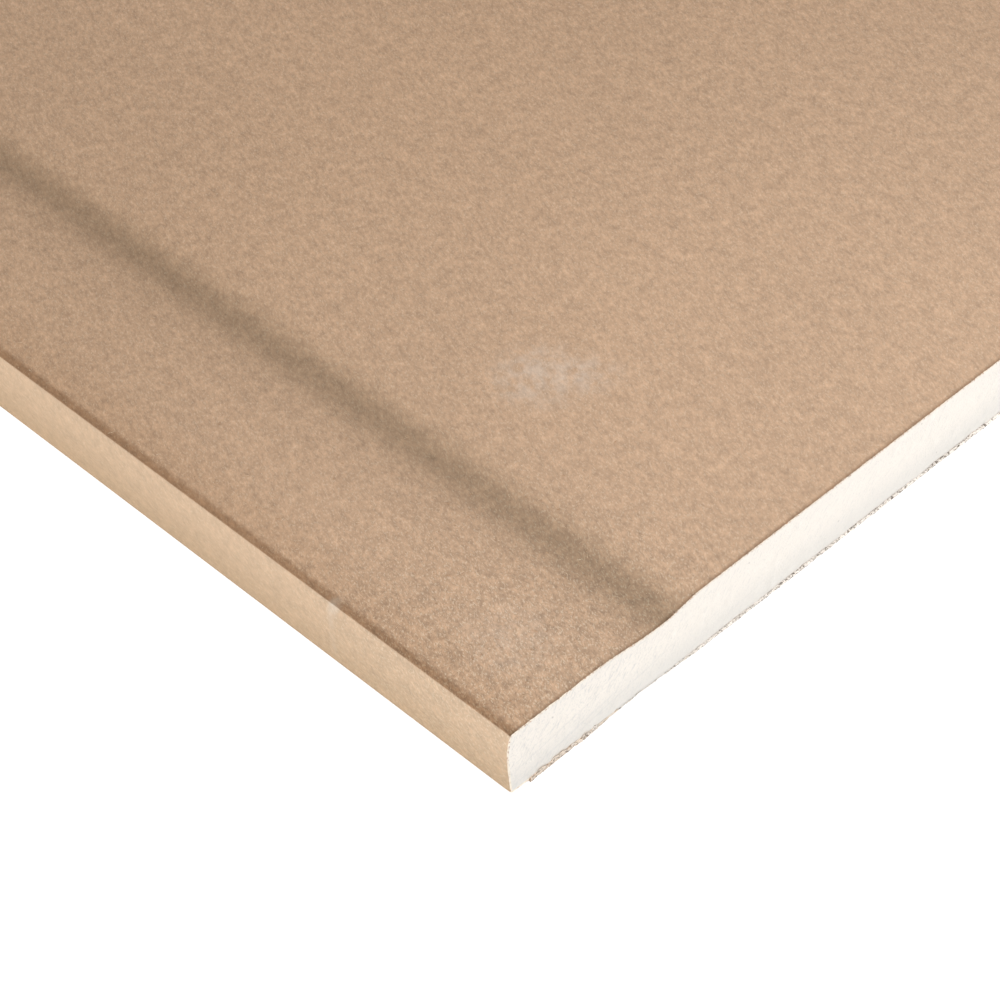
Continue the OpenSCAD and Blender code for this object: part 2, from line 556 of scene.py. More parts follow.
def bellCurve(tree, value, centre, width):
    # 1 where the value is at the centre, falling off either side
    away = addNode(tree, "ShaderNodeMath", {0: value, 1: centre}, operation="SUBTRACT")
    scaled = addNode(tree, "ShaderNodeMath", {0: away, 1: width}, operation="DIVIDE")
    squared = addNode(tree, "ShaderNodeMath", {0: scaled, 1: scaled}, operation="MULTIPLY")
    halved = addNode(tree, "ShaderNodeMath", {0: squared, 1: -0.5}, operation="MULTIPLY")
    return addNode(tree, "ShaderNodeMath", {0: halved}, operation="EXPONENT")


def fromTheEdges(tree):
    # distance in from the nearest cut end and from the nearest bound edge
    solid = addNode(tree, "ShaderNodeTexCoord").outputs["Object"]
    parts = addNode(tree, "ShaderNodeSeparateXYZ", {0: solid})
    distances = []
    for axis, half in (("X", halfLength), ("Y", halfWidth)):
        away = addNode(tree, "ShaderNodeMath", {0: parts.outputs[axis]}, operation="ABSOLUTE")
        distances.append(addNode(tree, "ShaderNodeMath", {0: half, 1: away}, operation="SUBTRACT"))
    return solid, *distances


def speckLayer(tree, place, size, chance):
    # one round speck in some cells of that size: 1 on a speck and 0 elsewhere
    spots = addNode(tree, "ShaderNodeTexVoronoi", {"Vector": place, "Scale": 1 / size})
    draw = addNode(tree, "ShaderNodeSeparateColor", {0: spots.outputs["Color"]})
    radius = addNode(tree, "ShaderNodeMapRange", {
        "Value": draw.outputs["Red"], "From Min": chance, "From Max": 1.0, "To Min": -0.05, "To Max": 0.10,
    })
    reach = addNode(tree, "ShaderNodeMath", {0: radius, 1: spots.outputs["Distance"]}, operation="SUBTRACT")
    return addNode(tree, "ShaderNodeMapRange", {
        "Value": reach, "From Min": -0.02, "From Max": 0.04, "To Max": 0.55,
    })


def paperMaterial(look):
    # Kraft liner of recycled fibre, formed wet on a wire and calendered: a dull warm brown felt
    # of paler and darker fibres, matt, with flocks, a few specks and a faint lengthwise grain.
    material, tree, shader = newMaterial(look["name"], 0.25, look["roughness"])
    web = addNode(tree, "ShaderNodeUVMap", uv_map="paperWeb")
    solid, fromEnd, fromEdge = fromTheEdges(tree)
    length, width = look["fibreLength"], look["fibreWidth"]
    pale = fibreLayers(tree, web, look["paleAngles"], length, width, look["paleFrom"], 1.0)
    dark = fibreLayers(tree, web, look["darkAngles"], length, width, look["darkFrom"], 40.0)
    fromCorner = addNode(tree, "ShaderNodeVectorMath", {
        0: addNode(tree, "ShaderNodeCombineXYZ", {0: fromEnd, 1: fromEdge}),
    }, operation="LENGTH")
    scuffed = addNode(tree, "ShaderNodeMapRange", {
        "Value": fromCorner.outputs["Value"],
        "From Min": 0.3 * look["scuffReach"], "From Max": look["scuffReach"],
        "To Min": 1.0, "To Max": look["calmShare"],
    }, interpolation_type="SMOOTHSTEP")
    onFace = addNode(tree, "ShaderNodeMapRange", {
        "Value": fromEdge, "From Min": look["creaseFrom"], "From Max": look["creaseFrom"] + 0.15 * mm,
    }, interpolation_type="SMOOTHSTEP")
    rough = addNode(tree, "ShaderNodeMapRange", {
        "Value": onFace, "To Min": look["stripGrain"], "To Max": 1.0,
    })
    rough = addNode(tree, "ShaderNodeMath", {0: rough, 1: scuffed}, operation="MULTIPLY")
    napped = addNode(tree, "ShaderNodeMath", {0: rough, 1: scuffed}, operation="MULTIPLY")
    combed = addNode(tree, "ShaderNodeMapping", {
        "Vector": web, "Rotation": (0, 0, math.radians(look["lie"])),
    })
    combed = addNode(tree, "ShaderNodeVectorMath", {
        0: combed, 1: (*look["combing"], 1),
    }, operation="MULTIPLY")
    grain = addNode(tree, "ShaderNodeTexNoise", {
        "Vector": combed, "Scale": 1 / look["grainSize"], "Detail": 2.0, "Roughness": 0.62,
    })
    swings = [(grain, look["grainSpread"])]
    for (along, across), detail, spread in look["unevenness"]:
        place = addNode(tree, "ShaderNodeVectorMath", {
            0: web, 1: (1 / along, 1 / across, 1),
        }, operation="MULTIPLY")
        uneven = addNode(tree, "ShaderNodeTexNoise", {"Vector": place, "Scale": 1.0, "Detail": detail})
        swings.append((uneven, spread))
    tone = 1.0
    for source, spread in swings:
        swing = addNode(tree, "ShaderNodeMapRange", {
            "Value": source, "From Min": 0.25, "From Max": 0.75,
            "To Min": -spread / 2, "To Max": spread / 2,
        })
        share = addNode(tree, "ShaderNodeMath", {0: swing, 1: rough, 2: 1.0}, operation="MULTIPLY_ADD")
        tone = addNode(tree, "ShaderNodeMath", {0: tone, 1: share}, operation="MULTIPLY")
    colour = addNode(tree, "ShaderNodeVectorMath", {
        0: linearColour(look["pulp"])[:3], "Scale": tone,
    }, operation="SCALE")
    speck = speckLayer(tree, web, look["speckSize"], 0.80)
    layers = []
    for found, share, tint in (
        (dark, look["darkShare"], "darkFibre"),
        (pale, look["paleShare"], "paleFibre"),
        (speck, 1.0, "speck"),
    ):
        full = addNode(tree, "ShaderNodeMath", {0: found, 1: share}, operation="MULTIPLY")
        amount = addNode(tree, "ShaderNodeMath", {0: full, 1: napped}, operation="MULTIPLY")
        layers.append((amount, look[tint], "MIX"))
    # gypsum dust: a veil beside the cut ends and a few smudges broken up by the fibres
    veil = addNode(tree, "ShaderNodeMapRange", {
        "Value": fromEnd, "From Min": 0.0, "From Max": look["dustReach"],
        "To Min": look["dustShare"], "To Max": 0.0,
    })
    clouds = addNode(tree, "ShaderNodeTexNoise", {
        "Vector": web, "Scale": 1 / look["chalkSize"], "Detail": 3.0,
    })
    worn = addNode(tree, "ShaderNodeMapRange", {"Value": clouds, "From Min": 0.34, "From Max": 0.62})
    here = addNode(tree, "ShaderNodeVectorMath", {
        0: solid, 1: (-1, 1, 0), 2: (halfLength, halfWidth, 0),
    }, operation="MULTIPLY_ADD")
    dusty = veil
    for alongSheet, acrossSheet, radius, strength in look["smudges"]:
        gap = addNode(tree, "ShaderNodeVectorMath", {
            0: here, 1: (alongSheet, acrossSheet, 0),
        }, operation="DISTANCE")
        near = addNode(tree, "ShaderNodeMapRange", {
            "Value": gap, "From Min": 0.2 * radius, "From Max": 1.3 * radius,
            "To Min": strength, "To Max": 0.0,
        }, interpolation_type="SMOOTHSTEP")
        dusty = addNode(tree, "ShaderNodeMath", {0: near, 1: worn, 2: dusty}, operation="MULTIPLY_ADD")
    layers.append((dusty, look["dust"], "MIX"))
    # the bound edge is smooth and pale, and painted shade makes it darker towards its lower corner
    strip = addNode(tree, "ShaderNodeMapRange", {"Value": onFace, "To Min": 0.30, "To Max": 0.0})
    layers.append((strip, look["stripTint"], "MIX"))
    height = addNode(tree, "ShaderNodeSeparateXYZ", {0: solid}).outputs["Z"]
    lowShade = addNode(tree, "ShaderNodeMapRange", {
        "Value": height, "From Min": 0.0, "From Max": look["lowShadeTo"], "To Min": 1.0, "To Max": 0.0,
    })
    # painted shade: a dark line along the dish, and a darker one in the score with a ragged inner border
    dishShade = bellCurve(tree, fromEdge, look["dishShadeAt"], look["dishShadeWidth"])
    ragged = addNode(tree, "ShaderNodeTexNoise", {
        "Vector": web, "Scale": 1 / look["raggedSize"], "Detail": 3.0,
    })
    wander = addNode(tree, "ShaderNodeMath", {
        0: ragged, 1: -look["creaseRagged"], 2: fromEdge,
    }, operation="MULTIPLY_ADD")
    creaseTo = look["creaseTo"] - look["creaseRagged"] / 2
    creaseShade = addNode(tree, "ShaderNodeMapRange", {
        "Value": wander, "From Min": creaseTo, "From Max": creaseTo + look["creaseFade"],
        "To Min": 1.0, "To Max": 0.0,
    }, interpolation_type="SMOOTHSTEP")
    margin = addNode(tree, "ShaderNodeMapRange", {
        "Value": fromEdge, "From Min": 0.3 * look["marginReach"], "From Max": 1.7 * look["marginReach"],
        "To Min": 1.0, "To Max": 0.0,
    }, interpolation_type="SMOOTHSTEP")
    # painted shade on the face beside the cut ends
    cutShade = addNode(tree, "ShaderNodeMapRange", {
        "Value": fromEnd, "From Min": 0.10 * mm, "From Max": 0.75 * mm, "To Min": 0.62, "To Max": 0.0,
    })
    layers.append((dishShade, look["dishShadeTint"], "MULTIPLY"))
    for amount, tint in ((creaseShade, "creaseShadeTint"), (margin, "marginTint"), (cutShade, "cutShadeTint")):
        onlyFace = addNode(tree, "ShaderNodeMath", {0: amount, 1: onFace}, operation="MULTIPLY")
        layers.append((onlyFace, look[tint], "MULTIPLY"))
    layers.append((lowShade, look["lowShadeTint"], "MULTIPLY"))
    finishMaterial(tree, shader, colour, layers, grain, look["reliefDepth"], rough)
    return material


cutLiner = {
    "name": "cut edge of the face liner",
    "ply": "#faf0e0",            # clean inner plies, laid bare beside the bound edge
    "fieldPly": "#f2e6d6",       # farther in, dusted with gypsum
    "outerPlyInShade": "#7d604a",       # the outer ply's own brown, darkened by painted shade
    "fibre": "#a8724c",
    "grain": 0.34 * mm,
    "fibreFrom": 0.54,
    "bareReach": 24 * mm,
    "bareFade": 9 * mm,
    "patchSize": 2.5 * mm,       # bare patches and those farther in meet raggedly
    "patchSwing": 22 * mm,
}
# the outer ply: cream beside the bound edge, its brown darkened by painted shade farther in
outerPlyLook = dict(cutLiner, name="outer ply of the face liner, painted shade farther in", fieldPly=cutLiner["outerPlyInShade"])
tornLiner = dict(
    cutLiner, name="torn edge of the back liner",
    ply="#eadbcb", fieldPly="#fcf6ee", fibre="#4a3425", grain=0.30 * mm, fibreFrom=0.505,
)


def cutPaperMaterial(look):
    # The liner's plies seen end on: cream beside the bound edge and another tone farther in, which on the
    # face liner's outer ply is its own brown darkened by painted shade, with darker fibre ends standing in
    # both.
    material, tree, shader = newMaterial(look["name"], 0.2, 0.9)
    solid, _, fromEdge = fromTheEdges(tree)
    ends = addNode(tree, "ShaderNodeTexNoise", {"Vector": solid, "Scale": 1 / look["grain"], "Detail": 2.0})
    patches = addNode(tree, "ShaderNodeTexNoise", {
        "Vector": solid, "Scale": 1 / look["patchSize"], "Detail": 2.0,
    })
    wander = addNode(tree, "ShaderNodeMath", {
        0: patches, 1: look["patchSwing"], 2: fromEdge,
    }, operation="MULTIPLY_ADD")
    fartherIn = addNode(tree, "ShaderNodeMapRange", {
        "Value": wander, "From Min": look["bareReach"], "From Max": look["bareReach"] + look["bareFade"],
    }, interpolation_type="SMOOTHSTEP")
    share = addNode(tree, "ShaderNodeMapRange", {
        "Value": ends, "From Min": look["fibreFrom"], "From Max": look["fibreFrom"] + 0.12, "To Max": 0.85,
    })
    layers = [(fartherIn, look["fieldPly"], "MIX"), (share, look["fibre"], "MIX")]
    finishMaterial(tree, shader, linearColour(look["ply"]), layers, ends, 0.08 * mm, 0.8)
    return material


cutFibres = {
    "name": "fibres dragged out by the knife",
    "low": "#6f5340",
    "high": "#efe2cf",
    "patch": 0.5 * mm,           # the colour changes over about this length
}
looseFibres = {
    "name": "loose pale fibres of the liner",
    "low": "#b9936f",
    "high": "#e6d2b6",
    "patch": 0.9 * mm,
}


def fibreMaterial(look):
    # Single fibres and bundles of recycled pulp: each between brown and bleached cream, matt.
    material, tree, shader = newMaterial(look["name"], 0.3, 0.8)
    solid = addNode(tree, "ShaderNodeTexCoord").outputs["Object"]
    spread = addNode(tree, "ShaderNodeTexNoise", {
        "Vector": solid, "Scale": 1 / look["patch"], "Detail": 1.0,
    })
    share = addNode(tree, "ShaderNodeMapRange", {"Value": spread, "From Min": 0.38, "From Max": 0.62})
    layers = [(share, look["high"], "MIX")]
    finishMaterial(tree, shader, linearColour(look["low"]), layers, spread, 0.02 * mm, 0.5)
    return material


setGypsum = {
    "name": "set gypsum, sawn and snapped",
    "plaster": "#f8f1e8",
    "shade": "#cccbca",          # grey in its pores
    "poreSize": 0.34 * mm,
    "streakLength": 1.6 * mm,
    "streakWidth": 0.24 * mm,
    "streakTilt": -52,            # degrees up from the length of the cut
    "scratchLength": 60 * mm,
    "scratchWidth": 0.55 * mm,
    "scratchTilt": -9,
    "grit": "#8f8781",           # a grain of unburnt stone here and there
    "gritSize": 3.4 * mm,
    # painted shade, greyer towards the lower arris up to this height
    "lowerArris": "#dbd9d5",
    "gypsumShadeTo": 8 * mm,
    "gypsumShadeShare": 0.65,
    "edgeReach": 34 * mm,        # pores stand more open beside the bound edge
    "roughness": 0.9,
}


def gypsumMaterial(look):
    # Foamed plaster cut dry: chalk white and dead matt, pricked with fine cool-grey pores
    # and lightly scored by the blade.
    material, tree, shader = newMaterial(look["name"], 0.2, look["roughness"])
    solid, _, fromEdge = fromTheEdges(tree)
    openness = addNode(tree, "ShaderNodeMapRange", {
        "Value": fromEdge, "From Min": look["edgeReach"] * 0.6, "From Max": look["edgeReach"] * 1.2,
        "To Min": 0.85, "To Max": 0.45,
    }, interpolation_type="SMOOTHSTEP")
    pores = addNode(tree, "ShaderNodeTexNoise", {
        "Vector": solid, "Scale": 1 / look["poreSize"], "Detail": 3.0,
    })
    layers = []
    for tilt, length, width, low, high, strength in (
        (0, look["poreSize"], look["poreSize"], 0.54, 0.72, 0.50),
        (look["streakTilt"], look["streakLength"], look["streakWidth"], 0.53, 0.74, 0.62),
        (look["scratchTilt"], look["scratchLength"], look["scratchWidth"], 0.61, 0.68, 0.26),
    ):
        turned = addNode(tree, "ShaderNodeMapping", {
            "Vector": solid, "Rotation": (math.radians(tilt), 0, 0),
        })
        stretched = addNode(tree, "ShaderNodeVectorMath", {
            0: turned, 1: (1 / width, 1 / length, 1 / width),
        }, operation="MULTIPLY")
        marks = addNode(tree, "ShaderNodeTexNoise", {"Vector": stretched, "Scale": 1.0, "Detail": 2.0})
        mark = addNode(tree, "ShaderNodeMapRange", {
            "Value": marks, "From Min": low, "From Max": high, "To Max": strength,
        })
        amount = addNode(tree, "ShaderNodeMath", {0: mark, 1: openness}, operation="MULTIPLY")
        layers.append((amount, look["shade"], "MIX"))
    layers.append((speckLayer(tree, solid, look["gritSize"], 0.80), look["grit"], "MIX"))
    # painted shade: greyer towards the lower arris
    gypsumLowShade = addNode(tree, "ShaderNodeMapRange", {
        "Value": addNode(tree, "ShaderNodeSeparateXYZ", {0: solid}).outputs["Z"],
        "From Min": 0.0, "From Max": look["gypsumShadeTo"], "To Min": look["gypsumShadeShare"], "To Max": 0.0,
    }, interpolation_type="SMOOTHSTEP")
    layers.append((gypsumLowShade, look["lowerArris"], "MIX"))
    finishMaterial(tree, shader, linearColour(look["plaster"]), layers, pores, 0.10 * mm, 0.6)
    return material


backLiner = dict(
    faceLiner,
    name="recycled grey-brown back liner, uncalendered",
    pulp="#b3987c",
    paleFibre="#d8c2a6",
    darkFibre="#7d6550",
    fibreLength=2.0 * mm,
    fibreWidth=0.24 * mm,
    roughness=0.92,
    reliefDepth=0.22 * mm,
    smudges=[],
    dishShadeTint="#ffffff",
    creaseShadeTint="#ffffff",
    marginTint="#ffffff",
    lowShadeTint="#ffffff",
)


def fibreShape(tree, length, thickness):
    # one fibre: a bent, tapered, three-sided tube that lies along X from its root
    half = addNode(tree, "ShaderNodeMath", {0: length, 1: 0.5}, operation="MULTIPLY")
    sag = addNode(tree, "ShaderNodeMath", {0: length, 1: 0.22}, operation="MULTIPLY")
    middle = addNode(tree, "ShaderNodeCombineXYZ", {"X": half, "Z": sag})
    tip = addNode(tree, "ShaderNodeCombineXYZ", {"X": length})
    curve = addNode(tree, "GeometryNodeCurveQuadraticBezier", {
        "Resolution": 2, "Start": (0, 0, 0), "Middle": middle, "End": tip,
    })
    share = addNode(tree, "GeometryNodeSplineParameter").outputs["Factor"]
    taper = addNode(tree, "ShaderNodeMapRange", {"Value": share, "To Min": 0.5, "To Max": 0.2})
    radius = addNode(tree, "ShaderNodeMath", {0: taper, 1: thickness}, operation="MULTIPLY")
    ring = addNode(tree, "GeometryNodeCurvePrimitiveCircle", {"Resolution": 3, "Radius": 1.0})
    return addNode(tree, "GeometryNodeCurveToMesh", {
        "Curve": curve, "Profile Curve": ring, "Scale": radius, "Fill Caps": True,
    })


def crumbShape(tree, length, thickness):
    # one crumb: a lump of twenty faces, flattened where it lies
    lump = addNode(tree, "GeometryNodeMeshIcoSphere", {"Radius": 0.5, "Subdivisions": 1})
    size = addNode(tree, "ShaderNodeCombineXYZ", {"X": length, "Y": length, "Z": thickness})
    return addNode(tree, "GeometryNodeTransform", {"Geometry": lump.outputs["Mesh"], "Scale": size})


def growthTree(name, shape, alongPath):
    # instances of a shape along a path (standing out from the cut) or strewn over a surface
    tree = bpy.data.node_groups.new(name, "GeometryNodeTree")
    tree.is_modifier = True
    tree.interface.new_socket("Geometry", in_out="INPUT", socket_type="NodeSocketGeometry")
    tree.interface.new_socket("Geometry", in_out="OUTPUT", socket_type="NodeSocketGeometry")
    for label, kind in (
        ("Spacing", "Float"), ("Density", "Float"), ("Length", "Float"), ("Thickness", "Float"),
        ("Shortest", "Float"), ("Swing", "Float"), ("Lift Low", "Float"), ("Lift High", "Float"),
        ("Stray", "Vector"), ("Clump Size", "Float"), ("Bare Share", "Float"), ("Seed", "Int"),
        ("Material", "Material"),
    ):
        tree.interface.new_socket(label, in_out="INPUT", socket_type="NodeSocket" + kind)
    given = tree.nodes.new("NodeGroupInput").outputs
    result = tree.nodes.new("NodeGroupOutput")
    if alongPath:
        curve = addNode(tree, "GeometryNodeMeshToCurve", {"Mesh": given["Geometry"]})
        roots = addNode(tree, "GeometryNodeResampleCurve", {
            "Curve": curve, "Length": given["Spacing"],
        }, mode="LENGTH")
    else:
        share = addNode(tree, "GeometryNodeInputNamedAttribute", {"Name": "nap"})
        density = addNode(tree, "ShaderNodeMath", {0: share, 1: given["Density"]}, operation="MULTIPLY")
        roots = addNode(tree, "GeometryNodeDistributePointsOnFaces", {
            "Mesh": given["Geometry"], "Density": density, "Seed": given["Seed"],
        })
    strayBack = addNode(tree, "ShaderNodeVectorMath", {0: given["Stray"], "Scale": -1.0}, operation="SCALE")
    stray = addNode(tree, "FunctionNodeRandomValue", {
        "Min": strayBack, "Max": given["Stray"], "Seed": given["Seed"],
    }, data_type="FLOAT_VECTOR")
    placed = addNode(tree, "GeometryNodeSetPosition", {"Geometry": roots, "Offset": stray})
    place = addNode(tree, "GeometryNodeInputPosition")
    clumpScale = addNode(tree, "ShaderNodeMath", {0: 1.0, 1: given["Clump Size"]}, operation="DIVIDE")
    clump = addNode(tree, "ShaderNodeTexNoise", {"Vector": place, "Scale": clumpScale, "Detail": 2.0})
    grown = addNode(tree, "FunctionNodeCompare", {
        "A": clump, "B": given["Bare Share"],
    }, data_type="FLOAT", operation="GREATER_THAN")
    turns = []
    for k, (low, high) in enumerate((
        (0.0, 2 * math.pi),
        (given["Lift Low"], given["Lift High"]),
        (None, given["Swing"]),
    )):
        if low is None:
            low = addNode(tree, "ShaderNodeMath", {0: high, 1: -1.0}, operation="MULTIPLY")
        seed = addNode(tree, "ShaderNodeMath", {0: given["Seed"], 1: float(k + 1)})
        turns.append(addNode(tree, "FunctionNodeRandomValue", {"Min": low, "Max": high, "Seed": seed}))
    roll, lift, swing = turns
    pitch = addNode(tree, "ShaderNodeMath", {0: lift, 1: -1.0}, operation="MULTIPLY")
    if alongPath:
        # fibres point away from the sheet at either end, and roll freely
        x = addNode(tree, "ShaderNodeSeparateXYZ", {0: place})
        atFarEnd = addNode(tree, "ShaderNodeMath", {0: x, 1: 0.0}, operation="LESS_THAN")
        yaw = addNode(tree, "ShaderNodeMath", {0: atFarEnd, 1: math.pi, 2: swing}, operation="MULTIPLY_ADD")
        turned = addNode(tree, "ShaderNodeCombineXYZ", {"X": roll, "Y": pitch, "Z": yaw})
        rotation = addNode(tree, "FunctionNodeEulerToRotation", {0: turned})
    else:
        flat = addNode(tree, "ShaderNodeCombineXYZ", {"Y": pitch, "Z": swing})
        turned = addNode(tree, "FunctionNodeEulerToRotation", {0: flat})
        rotation = addNode(tree, "FunctionNodeRotateRotation", {
            "Rotation": roots.outputs["Rotation"], "Rotate By": turned,
        }, rotation_space="LOCAL")
    seed = addNode(tree, "ShaderNodeMath", {0: given["Seed"], 1: 9.0})
    size = addNode(tree, "FunctionNodeRandomValue", {"Min": given["Shortest"], "Max": 1.0, "Seed": seed})
    instances = addNode(tree, "GeometryNodeInstanceOnPoints", {
        "Points": placed, "Selection": grown, "Instance": shape(tree, given["Length"], given["Thickness"]),
        "Rotation": rotation, "Scale": size,
    })
    real = addNode(tree, "GeometryNodeRealizeInstances", {"Geometry": instances})
    # nothing reaches below the floor that the sheet lies on
    parts = addNode(tree, "ShaderNodeSeparateXYZ", {0: place})
    lowest = addNode(tree, "ShaderNodeMath", {0: parts.outputs["Z"], 1: 0.01 * mm}, operation="MAXIMUM")
    raised = addNode(tree, "ShaderNodeCombineXYZ", {
        "X": parts.outputs["X"], "Y": parts.outputs["Y"], "Z": lowest,
    })
    kept = addNode(tree, "GeometryNodeSetPosition", {"Geometry": real, "Position": raised})
    smooth = addNode(tree, "GeometryNodeSetShadeSmooth", {"Geometry": kept})
    finished = addNode(tree, "GeometryNodeSetMaterial", {"Geometry": smooth, "Material": given["Material"]})
    tree.links.new(finished.outputs["Geometry"], result.inputs[0])
    return tree


def grow(name, base, tree, look, material):
    # runs a tree on a base object and keeps only the plain mesh that comes out
    values = {k: v for k, v in look.items() if k[0].isupper()}
    values["Material"] = material
    modifier = base.modifiers.new("growth", "NODES")
    modifier.node_group = tree
    for socket in tree.interface.items_tree:
        if socket.in_out == "INPUT" and socket.name in values:
            modifier[socket.identifier] = values[socket.name]
    evaluated = base.evaluated_get(bpy.context.evaluated_depsgraph_get())
    mesh = bpy.data.meshes.new_from_object(evaluated)
    mesh.name = name
    base.modifiers.remove(modifier)
    bpy.data.objects.remove(base)
    return addObject(name, mesh)


def edgePath(name, look):
    # a line of short steps across both cut ends, at the look's height or else along the face
    points, edges = [], []
    count = 400
    for end in (halfLength, -halfLength):
        for k in range(count + 1):
            y = (2 * k / count - 1) * (halfWidth - look["fromEdge"])
            z = look.get("height", topHeight(y))
            points.append((end - math.copysign(look["fromCut"], end), y, z))
            if k:
                edges.append((len(points) - 2, len(points) - 1))
    mesh = bpy.data.meshes.new(name)
    mesh.from_pydata(points, edges, [])
    return addObject(name, mesh)


def topHeight(y):
    # height of the face side at that y, from the face paper's own outline
    upper = sorted(p for p in paperOuter if p[1] > sheetThickness * 0.7)
    return float(np.interp(y, [p[0] for p in upper], [p[1] for p in upper]))


def napped(source, name, napAt):
    # a copy of a piece's mesh that says how thickly each of its points is strewn
    mesh = source.data.copy()
    share = mesh.attributes.new("nap", "FLOAT", "POINT")
    share.data.foreach_set("value", [napAt(v.co, v.normal) for v in mesh.vertices])
    return addObject(name, mesh)


tornFringe = {
    "fromCut": 0.08 * mm,
    "fromEdge": 3.5 * mm,
    "height": 0.42 * mm,
    "Spacing": 0.25 * mm,
    "Length": 0.75 * mm,
    "Thickness": 0.11 * mm,      # bundles of fibres
    "Shortest": 0.35,
    "Swing": 1.1,                # radians to either side
    "Lift Low": -0.35,
    "Lift High": 0.75,
    "Stray": (0.10 * mm, 0.10 * mm, 0.16 * mm),
    "Clump Size": 3.5 * mm,
    "Bare Share": 0.36,
    "Seed": 11,
}
cutFuzz = {
    "fromCut": 0.12 * mm,
    "fromEdge": 2.5 * mm,
    "Spacing": 0.5 * mm,
    "Length": 0.45 * mm,
    "Thickness": 0.07 * mm,
    "Shortest": 0.4,
    "Swing": 1.3,
    "Lift Low": -0.9,
    "Lift High": 0.35,
    "Stray": (0.08 * mm, 0.2 * mm, 0.04 * mm),
    "Clump Size": 5 * mm,
    "Bare Share": 0.44,
    "Seed": 23,
}
looseNap = {
    "cornerReach": 62 * mm,
    "endReach": 14 * mm,
    "endShare": 0.12,
    "Density": 420000.0,         # to the square metre, where the nap is fullest
    "Length": 0.75 * mm,
    "Thickness": 0.10 * mm,
    "Shortest": 0.35,
    "Swing": math.pi,
    "Lift Low": -0.04,
    "Lift High": 0.12,
    "Stray": (0.0, 0.0, 0.0),
    "Clump Size": 6 * mm,
    "Bare Share": 0.42,
    "Seed": 37,
}
crumbs = {
    "endShare": 0.18,
    "cornerReach": 70 * mm,
    "Density": 160000.0,
    "Length": 0.26 * mm,
    "Thickness": 0.16 * mm,
    "Shortest": 0.3,
    "Swing": math.pi,
    "Lift Low": -0.3,
    "Lift High": 0.3,
    "Stray": (0.0, 0.0, 0.0),
    "Clump Size": 4 * mm,
    "Bare Share": 0.50,
    "Seed": 41,
}


def napOnFace(place, normal):
    if normal.z < 0.8 or place.z < sheetThickness / 2:
        return 0.0
    n = looseNap
    fromEnd, fromEdge = halfLength - abs(place.x), halfWidth - abs(place.y)
    corner = 1 - softStep(math.hypot(fromEnd, fromEdge), 0.3 * n["cornerReach"], n["cornerReach"])
    return max(corner, n["endShare"] * (1 - softStep(fromEnd, 0, n["endReach"])))


def crumbsOnCut(place, normal):
    if abs(normal.x) < 0.8:
        return 0.0
    c = crumbs
    corner = 1 - softStep(halfWidth - abs(place.y), 0.3 * c["cornerReach"], c["cornerReach"])
    return max(corner, c["endShare"])


faceMaterial = paperMaterial(faceLiner)
backMaterial = paperMaterial(backLiner)
cutMaterial = cutPaperMaterial(cutLiner)
tornMaterial = cutPaperMaterial(tornLiner)
outerPlyMaterial = cutPaperMaterial(outerPlyLook)
fuzzMaterial = fibreMaterial(cutFibres)
napMaterial = fibreMaterial(looseFibres)
coreMaterial = gypsumMaterial(setGypsum)
print("materials:", len(bpy.data.materials))

core = buildCore(coreMaterial)
face = buildFacePaper(faceMaterial, cutMaterial, outerPlyMaterial)
back = buildBackPaper(backMaterial, tornMaterial)
alongCuts = growthTree("fibres along a cut", fibreShape, True)
overPaper = growthTree("fibres over paper", fibreShape, False)
overGypsum = growthTree("crumbs over gypsum", crumbShape, False)
fringe = grow("torn_fringe", edgePath("fringe path", tornFringe), alongCuts, tornFringe, tornMaterial)
fuzz = grow("cut_fuzz", edgePath("fuzz path", cutFuzz), alongCuts, cutFuzz, fuzzMaterial)
nap = grow("loose_nap", napped(face, "napped face", napOnFace), overPaper, looseNap, napMaterial)
dust = grow("gypsum_crumbs", napped(core, "crumbed core", crumbsOnCut), overGypsum, crumbs, coreMaterial)
for piece, slot, node in (
    (core, "gypsum", "gypsum_core"),
    (face, "face_paper", "face_paper"),
    (back, "back_paper", "back_paper"),
    (fringe, "back_paper", None),
    (fuzz, "face_paper", None),
    (nap, "face_paper", None),
    (dust, "gypsum", None),
):
    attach(piece, "root")
    if node:
        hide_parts(node)
    print(piece.name, sum(len(f.vertices) - 2 for f in piece.data.polygons), "triangles")

studio = {
    "zenith": 0.15,
    "horizon": 1.16,              # added towards the horizon
    "floorHalf": 30,              # metres, so that the floor reaches the horizon
    "floorColour": "#e2e2e2",
    "floorGlow": 0.75,            # for the eye only: it doesn't light the sheet from below
    "sunStrength": 1.68,
    "sunAzimuth": 71,             # degrees from +X towards -Y
    "sunHeight": 21,
    "sunWidth": 16,
    "lampPlace": (0.052, 0.114, 0.19),  # metres from the +X, -Y corner, which it alone brightens
    "lampSize": 0.12,
    "lampPower": 0.175,
}

floorMaterial, floorTree, floorShader = newMaterial("matt white floor", 0.0, 1.0)
floorShader.inputs["Base Color"].default_value = linearColour(studio["floorColour"])
floorShader.inputs["Emission Color"].default_value = (1, 1, 1, 1)
seen = addNode(floorTree, "ShaderNodeLightPath").outputs["Is Camera Ray"]
glow = addNode(floorTree, "ShaderNodeMath", {0: seen, 1: studio["floorGlow"]}, operation="MULTIPLY")
floorTree.links.new(glow.outputs[0], floorShader.inputs["Emission Strength"])
reach = studio["floorHalf"]
floorTop = -0.05 * mm
corners = [(x * reach, y * reach, floorTop) for x, y in ((-1, -1), (1, -1), (1, 1), (-1, 1))]
floor = meshObject("floor", corners, [(0, 1, 2, 3)], [floorMaterial], smooth=False)

